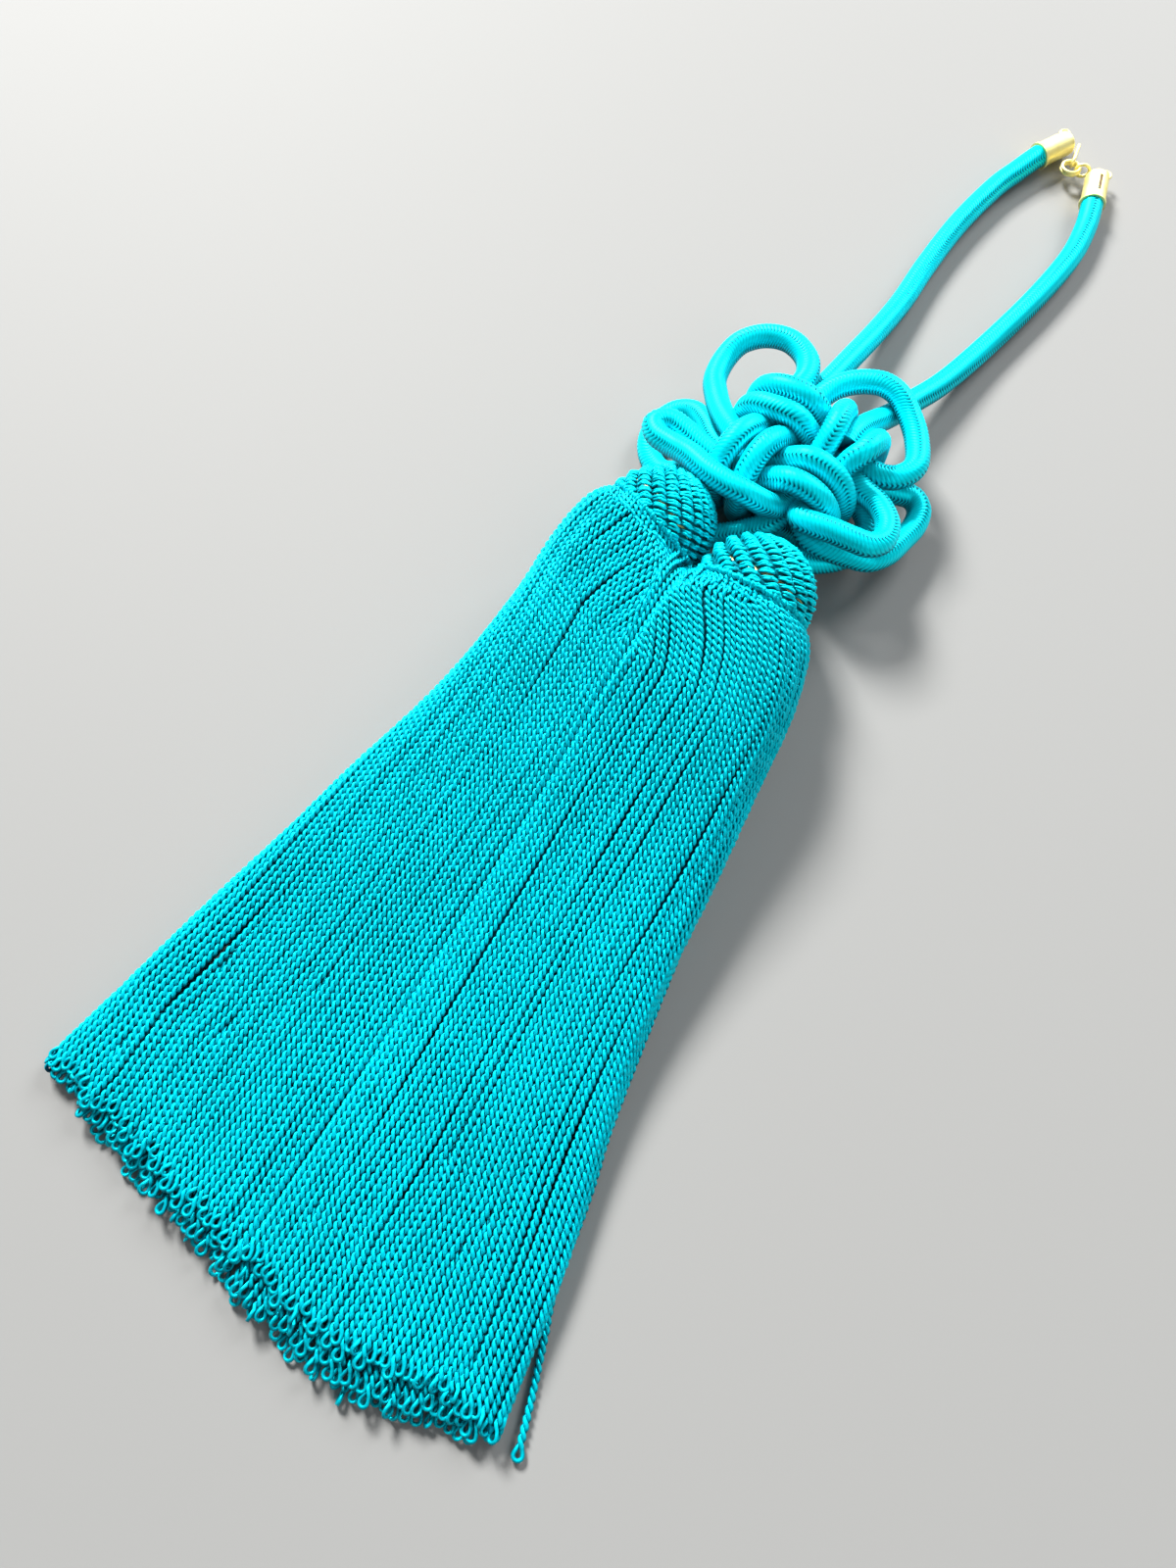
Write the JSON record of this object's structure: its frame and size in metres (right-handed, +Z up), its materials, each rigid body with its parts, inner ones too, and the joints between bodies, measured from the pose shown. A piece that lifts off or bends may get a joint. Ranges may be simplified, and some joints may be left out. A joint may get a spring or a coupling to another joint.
{
  "type": "knotted tassel",
  "caption": "Knotted double tassel: flat good-luck knot in teal cord, netted tassel heads, long looped fringe and a cord loop closed by gilt end caps and rings.",
  "frame": {"origin": "middle of the footprint of the knot and the fringes, on the surface it lies on", "axes": "+Z up from the table, +Y from the fringe ends towards the clasp, +X to the tassel's right, seen from above"},
  "size_m": [0.119, 0.3722, 0.0295],
  "materials": {
    "silk_fringe": "two-ply twisted silky strands",
    "silk_cord": "fine ribbed silky cord",
    "silk_net": "looped net of twisted strands",
    "gold_core": "gilt, mostly hidden under the net",
    "gold_metal": "polished light gold plate"
  },
  "bodies": {
    "root": {"skirt_left": "silk_fringe", "skirt_right": "silk_fringe", "core_left": "gold_core", "core_right": "gold_core", "net_left": "silk_net", "net_right": "silk_net", "knot_cord_left": "silk_cord", "knot_cord_right": "silk_cord", "leg_left": "silk_cord", "leg_right": "silk_cord", "cap_left": "gold_metal", "cap_right": "gold_metal", "hook_link": "gold_metal", "jump_ring": "gold_metal", "side_link": "gold_metal"}
  },
  "joints": []
}
